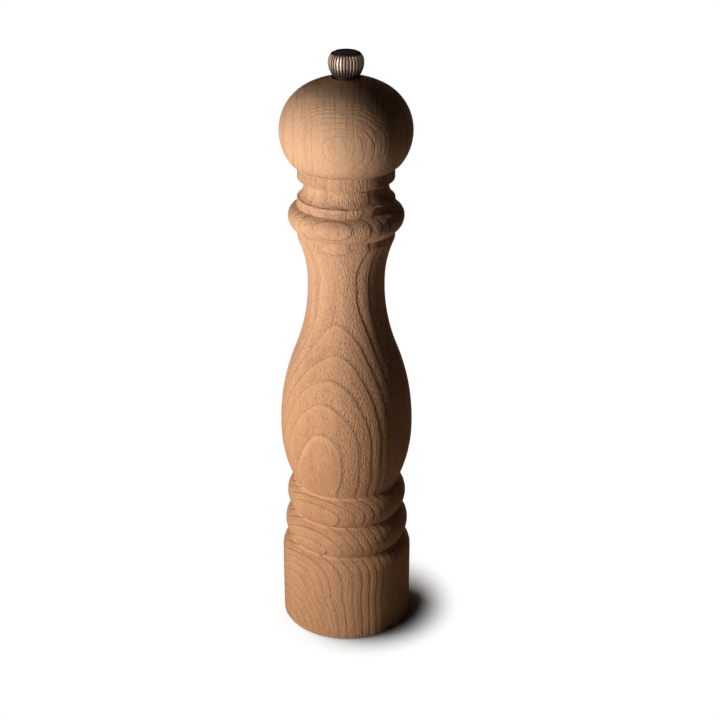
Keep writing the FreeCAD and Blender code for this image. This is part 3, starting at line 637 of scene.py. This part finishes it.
def beech(name, low_tones, high_tones, heights, pale, late, line_strength, patchy, raggedness, rays, coarse,
          step, ring_top, lips=()):
    """Brushed beech: each ring starts at a thin dark line with rough open early wood and ends in smooth pale
    late wood. Soft streaks and short pores run along the trunk, and dotted rays stand in upright planes.
    Tone and coarseness go from low to high between the two heights, the ring lines fade between the heights of
    ring_top, and the lips beside the grooves get a pale painted highlight."""
    material, tree, shader = blank_material(name)
    rings = add_node(tree, "ShaderNodeAttribute", attribute_name="growth").outputs["Fac"]
    level = add_node(tree, "ShaderNodeSeparateXYZ", {0: own_place(tree)}).outputs["Z"]
    high = add_node(tree, "ShaderNodeMapRange", {0: level, 1: heights[0], 2: heights[1]}).outputs[0]
    fade = add_node(tree, "ShaderNodeMapRange",
                    {0: level, 1: ring_top[0], 2: ring_top[1], 3: 1.0, 4: TOP_RING_STRENGTH}).outputs[0]
    along, streaked = stretched(tree, ALONG_GRAIN), stretched(tree, STREAKED_GRAIN)
    fray = noise(tree, along, FRAY_SCALE, 3.0)
    fibre = noise(tree, along, FIBRE_SCALE, 2.0, 0.6)
    streak = ramp(tree, noise(tree, streaked, STREAK_SCALE, 3.0), STREAK_STOPS)
    cloud = ramp(tree, noise(tree, streaked, CLOUD_SCALE), CLOUD_STOPS)
    ray = ramp(tree, noise(tree, stretched(tree, RAY_GRAIN), RAY_SCALE, 1.0), RAY_STOPS)
    ray = times(tree, ray, ramp(tree, fray, RAY_DOT_STOPS))
    pores = ramp(tree, noise(tree, stretched(tree, PORE_GRAIN), PORE_SCALE, 1.0), PORE_STOPS)
    open_rings = ramp(tree, noise(tree, streaked, OPEN_SCALE), OPEN_STOPS)
    broken = ramp(tree, noise(tree, along, BREAK_SCALE), [(BREAK_LOW, 1 - patchy), (BREAK_HIGH, 1.0)])
    broken = times(tree, broken, fade)

    ragged = sums(tree, "ADD", rings, times(tree, sums(tree, "SUBTRACT", fray, 0.5), raggedness))
    share = sums(tree, "FRACT", ragged, 0.0)
    line = times(tree, ramp(tree, share, LINE_STOPS), broken)
    edge, early, rise = [ramp(tree, share, stops) for stops in (EDGE_STOPS, EARLY_STOPS, RISE_STOPS)]

    ground = blended(tree, high, blended(tree, cloud, *low_tones), blended(tree, cloud, *high_tones))
    ground = blended(tree, times(tree, streak, STREAK_STRENGTH), ground, late)
    ground = blended(tree, edge, ground, pale)
    for mark, strength in ((line, line_strength), (ray, rays), (pores, PORE_STRENGTH)):
        ground = blended(tree, times(tree, mark, strength), ground, late)
    # Painted highlight: a pale band on the lip just above each groove
    if lips:
        stops = [((lip + above) / LIP_SPAN, tone) for lip in lips for above, tone in LIP_HIGHLIGHT_PROFILE]
        painted_lip_highlight = ramp(tree, times(tree, level, 1 / LIP_SPAN), [(0.0, 0)] + stops)
        ground = blended(tree, times(tree, painted_lip_highlight, LIP_HIGHLIGHT_STRENGTH), ground, pale)

    open_grain = sums(tree, "ADD", SMOOTH_GRAIN, times(tree, times(tree, early, open_rings), OPEN_GRAIN))
    coarseness = sums(tree, "ADD", coarse[0], times(tree, high, coarse[1] - coarse[0]))
    open_grain = times(tree, open_grain, coarseness)
    rough = sums(tree, "ADD", fray, times(tree, fibre, FIBRE_HEIGHT))
    rough = sums(tree, "SUBTRACT", rough, times(tree, pores, PORE_DEPTH))
    ring_rise = times(tree, times(tree, rise, step), broken)
    height = sums(tree, "ADD", times(tree, rough, open_grain), ring_rise)
    height = sums(tree, "SUBTRACT", height, times(tree, ray, RAY_DEPTH * rays))
    shader.inputs["Specular IOR Level"].default_value = WOOD_GLOSS
    surface(tree, shader, ground, ramp(tree, fibre, WOOD_ROUGHNESS), height, GRAIN_STRENGTH, GRAIN_DEPTH)
    return material


MARK_STOPS = [(0.3, 0), (0.7, 1)]
TARNISH_SCALE = 180
TARNISH_STOPS = [(0.25, 0.35), (0.7, 1)]
MARK_STRENGTH = 0.5


def metal(name, bright, dull, roughness, grain, lines=(1, 1, 1), depth=0.00004, edge=(1, 1, 1, 1)):
    """Worked metal: tool marks along one way, cloudy tarnish, and roughness that follows the marks."""
    material, tree, shader = blank_material(name)
    marks = noise(tree, stretched(tree, lines), grain, 3.0, 0.6)
    tarnish = noise(tree, stretched(tree, (1, 1, 1)), TARNISH_SCALE, 4.0, 0.6)
    mixed = times(tree, ramp(tree, marks, MARK_STOPS), ramp(tree, tarnish, TARNISH_STOPS))
    shader.inputs["Metallic"].default_value = 1.0
    shader.inputs["Specular Tint"].default_value = edge
    rough = ramp(tree, marks, [(0.25, roughness[0]), (0.75, roughness[1])])
    surface(tree, shader, blended(tree, mixed, bright, dull), rough, marks, MARK_STRENGTH, depth)
    return material


# Knob: colours of its lands, and of its flutes, which also serves as painted shade at the foot and shoulder,
# and how wear and the cast skin break them up
LAND_METAL, FLUTE_AND_PAINTED_SHADE_METAL = (0.092, 0.0670, 0.0520, 1), (0.020, 0.0128, 0.0090, 1)
KNOB_EDGE_TINT = (0.10, 0.08, 0.07, 1)
KNOB_DARK_STOPS = [(0.12, 0), (0.62, 1)]
KNOB_ROUGHNESS = [(0.1, 0.42), (0.9, 0.52)]
KNOB_WEAR_GRAIN, KNOB_WEAR_SCALE, KNOB_WEAR = (1, 1, 0.12), 900, 0.08
CAST_SCALE, CAST_STRENGTH, CAST_DEPTH = 2600, 0.015, 0.00003


def burnished_knob_metal():
    """Dark turned metal, rubbed bright on the lands between the flutes; the flute colour is also painted shade
    in bands at the foot and shoulder.
    """
    material, tree, shader = blank_material("burnished_knob_metal")
    flute = add_node(tree, "ShaderNodeAttribute", attribute_name="flute").outputs["Fac"]
    wear = noise(tree, stretched(tree, KNOB_WEAR_GRAIN), KNOB_WEAR_SCALE, 3.0, 0.6)
    cast = noise(tree, stretched(tree, (1, 1, 1)), CAST_SCALE)
    # The flute attribute also holds the painted shade bands at the foot and shoulder, which darken here like
    # the flutes
    dark = sums(tree, "ADD", flute, times(tree, sums(tree, "SUBTRACT", wear, 0.5), KNOB_WEAR))
    colour = blended(tree, ramp(tree, dark, KNOB_DARK_STOPS), LAND_METAL, FLUTE_AND_PAINTED_SHADE_METAL)
    shader.inputs["Metallic"].default_value = 1.0
    shader.inputs["Specular Tint"].default_value = KNOB_EDGE_TINT
    surface(tree, shader, colour, ramp(tree, dark, KNOB_ROUGHNESS), cast, CAST_STRENGTH, CAST_DEPTH)
    return material


# Cap: colours of its disc and of the painted highlight on its rim, and where that highlight starts and is full,
# from the axis
CAP_DISC = (0.006, 0.005, 0.004, 1), (0.016, 0.013, 0.011, 1)
CAP_RIM_PAINTED_HIGHLIGHT = (0.060, 0.046, 0.038, 1)
CAP_HIGHLIGHT_START, CAP_HIGHLIGHT_FULL = 0.0045, 0.0050
CAP_CIRCLE_SCALE, CAP_SCUFF_SCALE = 900.0, 700
CAP_ROUGHNESS = [(0.3, 0.36), (0.75, 0.56)]
CAP_GLOSS = 0.002
CAP_GLOSS_TINT = (1.0, 0.85, 0.75, 1)
CAP_MARK_STRENGTH, CAP_MARK_DEPTH = 0.12, 0.00003


def dark_cap_lacquer():
    """Dark satin disc: fine turned circles about the axis, a scatter of scuffs, and a painted highlight on the
    rim.
    """
    material, tree, shader = blank_material("dark_cap_lacquer")
    place = own_place(tree)
    wave = {"Vector": place, "Scale": CAP_CIRCLE_SCALE, "Distortion": 0.6, "Detail": 2.0}
    circles = add_node(tree, "ShaderNodeTexWave", wave, wave_type="RINGS", rings_direction="Z").outputs["Fac"]
    scuff = noise(tree, place, CAP_SCUFF_SCALE, 4.0, 0.65)
    marks = times(tree, circles, scuff)
    flat = add_node(tree, "ShaderNodeVectorMath", {0: place, 1: (1, 1, 0)}, operation="MULTIPLY").outputs[0]
    # Painted highlight: the rim gets a lighter colour than the disc, from where it starts out to where it is
    # full
    rim = add_node(tree, "ShaderNodeMapRange",
                   {0: length(tree, flat), 1: CAP_HIGHLIGHT_START, 2: CAP_HIGHLIGHT_FULL}).outputs[0]
    colour = blended(tree, rim, blended(tree, marks, *CAP_DISC), CAP_RIM_PAINTED_HIGHLIGHT)
    shader.inputs["Specular IOR Level"].default_value = CAP_GLOSS
    shader.inputs["Specular Tint"].default_value = CAP_GLOSS_TINT
    surface(tree, shader, colour, ramp(tree, scuff, CAP_ROUGHNESS), marks, CAP_MARK_STRENGTH, CAP_MARK_DEPTH)
    return material


def dress(piece, material):
    piece.data.materials.clear()
    piece.data.materials.append(material)


# Painted light: the body's tone is lighter in its upper part than at its base, standing in for how the light
# falls along its height, and the lips above its grooves carry a painted highlight
BODY_BEECH = beech(
    "body_beech",
    low_tones=[(0.533, 0.283, 0.150, 1), (0.494, 0.253, 0.130, 1)],
    high_tones=[(0.700, 0.410, 0.250, 1), (0.646, 0.363, 0.212, 1)], heights=(0.105, 0.235),
    pale=(0.65, 0.381, 0.232, 1), late=(0.26, 0.110, 0.048, 1),
    line_strength=0.30, patchy=0.1, raggedness=0.09, rays=0.0, coarse=(1.15, 1.30), step=1.2,
    ring_top=(0.4, 0.5), lips=[groove[1] * MM for groove in (BASE_GROOVE, BEAD_GROOVE, VASE_GROOVE)])
HEAD_BEECH = beech(
    "head_beech",
    low_tones=[(0.650, 0.378, 0.222, 1), (0.592, 0.335, 0.192, 1)],
    high_tones=[(0.720, 0.438, 0.264, 1), (0.670, 0.394, 0.230, 1)], heights=(0.245, 0.252),
    pale=(0.75, 0.472, 0.301, 1), late=(0.36, 0.175, 0.090, 1),
    line_strength=0.42, patchy=0.90, raggedness=0.10, rays=0.40, coarse=(1.30, 0.24), step=0.35,
    ring_top=(0.2815, 0.2865))
STEEL = metal("brushed_steel", (0.44, 0.44, 0.44, 1), (0.29, 0.285, 0.28, 1), (0.26, 0.44), 1400, (1, 1, 0.05))
PLATE_STEEL = metal("rolled_steel", (0.42, 0.42, 0.42, 1), (0.30, 0.295, 0.29, 1), (0.28, 0.46), 1500,
                    (0.06, 1, 1))
CUTTER_STEEL = metal("hardened_steel", (0.34, 0.33, 0.32, 1), (0.20, 0.19, 0.18, 1), (0.30, 0.52), 1800,
                     (1, 1, 0.5), depth=0.00006)
# Partly painted shade: the washer's near-black steel also stands in for the shade at the knob's foot
WASHER_STEEL_AND_FOOT_SHADE = metal("blackened_steel_and_foot_shade", (0.022, 0.017, 0.014, 1), (0.012, 0.009, 0.007, 1), (0.40, 0.60), 1700,
                     (1, 1, 0.2), edge=(0.06, 0.05, 0.04, 1))
SPRING_STEEL = metal("spring_steel", (0.42, 0.42, 0.43, 1), (0.28, 0.28, 0.29, 1), (0.22, 0.40), 2400)
BRASS = metal("turned_brass", (0.72, 0.51, 0.24, 1), (0.56, 0.37, 0.16, 1), (0.24, 0.42), 1600, (0.1, 0.1, 1))
KNOB_METAL = burnished_knob_metal()
CAP_LACQUER = dark_cap_lacquer()

new_pieces = [
    (turned_body(), "mill_body", "body", "body_wood", BODY_BEECH),
    (turned_head(), "mill_head", "head", "head_wood", HEAD_BEECH),
    (fluted_knob(), "knob", "knob_shell", "knob_metal", KNOB_METAL),
    (rimmed_cap(), "knob", "knob_cap", "knob_cap", CAP_LACQUER),
    (coil_spring(), "grinder_spindle", "spring", "steel", SPRING_STEEL),
]
for piece, body, node, slot, material in new_pieces:
    dress(piece, material)
    # The spring sits between the rotor and the guide; its place is baked into its points and it is not attached
    # to a body
    if node == "spring":
        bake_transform(piece)
    else:
        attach(piece, body)
    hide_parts(node)

carried_over = {
    "knob_insert": BRASS, "spindle_bush": BRASS,
    "knob_washer": WASHER_STEEL_AND_FOOT_SHADE, "drive_plate": PLATE_STEEL, "bridge": PLATE_STEEL, "bush_clip": PLATE_STEEL,
    "spring_seat_upper": PLATE_STEEL, "spring_seat_lower": PLATE_STEEL, "spindle_guide": PLATE_STEEL,
    "spindle": STEEL, "rotor_pin": STEEL, "drive_plate_screws": STEEL, "bridge_screws": STEEL,
    "stator": CUTTER_STEEL, "rotor": CUTTER_STEEL,
}
for node, material in carried_over.items():
    dress(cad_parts[node], material)

# Floor: rings of points in millimetres from the axis, and the patch near the mill that shows its shadow
FLOOR_RADII = (6000.0, 600.0, 200.0, 60.0, 1.0)
FLOOR_LEVEL = -0.05
FLOOR_COLUMNS = 64
FLOOR_PAINT = (0.6, 0.6, 0.6, 1)
FLOOR_BOUNCE = (0.333, 0.293, 0.253, 1)
SHADOW_MIDDLE = (0.006, 0.004, 0)
SHADOW_REACH = (0.032, 0.0556)


def seen_by_eye(tree):
    """One for rays from the camera, straight or by way of a mirror or glass, and nothing for other rays."""
    path = add_node(tree, "ShaderNodeLightPath").outputs
    bent = sums(tree, "MAXIMUM", path["Is Glossy Ray"], path["Is Transmission Ray"])
    return sums(tree, "MAXIMUM", path["Is Camera Ray"], bent)


def pale_floor():
    """Flat round floor in rings of points; it shows white far from the mill and keeps the mill's soft shadow
    near it."""
    rows = np.column_stack([FLOOR_RADII, np.full(len(FLOOR_RADII), FLOOR_LEVEL)])
    pole = (len(rows) - 1, (0, 0, FLOOR_LEVEL))
    floor, _ = grid_piece("pale_floor", spun(rows, even_angles(FLOOR_COLUMNS)), False, [pole])
    material, tree, shader = blank_material("pale_floor_paint")
    aside = add_node(tree, "ShaderNodeVectorMath", {0: own_place(tree), 1: SHADOW_MIDDLE},
                     operation="SUBTRACT").outputs[0]
    far = add_node(tree, "ShaderNodeMapRange", {0: length(tree, aside), 1: SHADOW_REACH[0], 2: SHADOW_REACH[1]},
                   interpolation_type="SMOOTHSTEP").outputs[0]
    white = add_node(tree, "ShaderNodeEmission", {"Color": (1, 1, 1, 1), "Strength": 1.0}).outputs[0]
    paint = add_node(tree, "ShaderNodeBsdfDiffuse", {"Color": FLOOR_PAINT}).outputs[0]
    dim = add_node(tree, "ShaderNodeBsdfDiffuse", {"Color": FLOOR_BOUNCE}).outputs[0]
    shown = add_node(tree, "ShaderNodeMixShader", {0: far, 1: paint, 2: white}).outputs[0]
    both = add_node(tree, "ShaderNodeMixShader", {0: seen_by_eye(tree), 1: dim, 2: shown}).outputs[0]
    tree.nodes.remove(shader)
    tree.links.new(both, tree.nodes["Material Output"].inputs["Surface"])
    dress(floor, material)
    floor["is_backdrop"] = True
    return floor


def around(turn, distance, height):
    """A place at an angle from the front, measured to the right, at a distance and a height."""
    angle = math.radians(turn)
    return (distance * math.sin(angle), -distance * math.cos(angle), height)


def soft_lamp(name, place, target, width, height, power, colour=(1, 1, 1)):
    """Rectangular lamp at a place, facing a target."""
    light = bpy.data.lights.new(name, "AREA")
    light.shape = "RECTANGLE"
    light.size, light.size_y = width, height
    light.energy = power
    light.color = colour
    lamp = bpy.data.objects.new(name, light)
    lamp.location = place
    lamp.rotation_euler = (Vector(target) - Vector(place)).to_track_quat("-Z", "Y").to_euler()
    bpy.context.scene.collection.objects.link(lamp)
    return lamp


def lights_only(lamp, pieces):
    """The lamp lights these pieces and nothing else."""
    lit = bpy.data.collections.new(lamp.name + "_lit")
    for piece in pieces:
        lit.objects.link(piece)
    lamp.light_linking.receiver_collection = lit


WARM_WHITE = (1.0, 0.985, 0.97)

floor = pale_floor()
key_lamp = soft_lamp("key_lamp", around(-49, 0.22, 0.1825), target=(0, 0, 0.1825),
                     width=0.05, height=0.355, power=0.775, colour=WARM_WHITE)
head_lamp = soft_lamp("head_lamp", around(-46.5, 0.22, 0.230), target=(0, 0, 0.254),
                      width=0.05, height=0.134, power=0.515, colour=WARM_WHITE)
for lamp in (key_lamp, head_lamp):
    lamp.visible_camera = False
knob_lamp = soft_lamp("knob_lamp", around(-50, 0.5, 0.294), target=(0, 0, 0.294),
                      width=0.22, height=0.9, power=24.0)
back_lamp = soft_lamp("back_lamp", around(184, 0.8, 0.12), target=(0, 0, 0.15),
                      width=0.5, height=0.2, power=4.2)
floor_lamp = soft_lamp("floor_lamp", (-0.32, 0.10, 0.28), target=(0, 0, 0.20),
                       width=0.50, height=0.36, power=6.0)
floor_lamp.visible_glossy = False

head, knob = new_pieces[1][0], new_pieces[2][0]
lights_only(floor_lamp, [floor])
lights_only(head_lamp, [head])
lights_only(knob_lamp, [knob])
lights_only(key_lamp, [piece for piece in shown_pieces() if piece not in (head, knob)])
lights_only(back_lamp, [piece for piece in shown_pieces() if piece != knob])

# White surround for the eye, and a dim warm one that lights the shaded side
DIM_COLOUR = (1.0, 0.78, 0.60, 1)
DIM_STRENGTH = 0.010
world = bpy.data.worlds.new("white_surround")
bpy.context.scene.world = world
world.use_nodes = True
sky = world.node_tree
glow = sky.nodes["Background"]
glow.inputs["Color"].default_value = (1, 1, 1, 1)
glow.inputs["Strength"].default_value = 1.0
dim_glow = add_node(sky, "ShaderNodeBackground", {"Color": DIM_COLOUR, "Strength": DIM_STRENGTH}).outputs[0]
mixed = add_node(sky, "ShaderNodeMixShader", {0: seen_by_eye(sky), 1: dim_glow, 2: glow.outputs[0]}).outputs[0]
sky.links.new(mixed, sky.nodes["World Output"].inputs["Surface"])

camera_data = bpy.data.cameras.new("front_camera")
camera_data.sensor_width = 36.0
camera_data.lens = 72.606
camera_data.shift_x = 0.0133
camera_data.clip_start = 0.01
camera = bpy.data.objects.new("front_camera", camera_data)
camera.location = (0.0020, -0.6606, 0.44936)
camera.rotation_euler = (math.radians(65.25), 0, 0)
bpy.context.scene.collection.objects.link(camera)
bpy.context.scene.camera = camera
bpy.context.scene.view_settings.view_transform = "Standard"
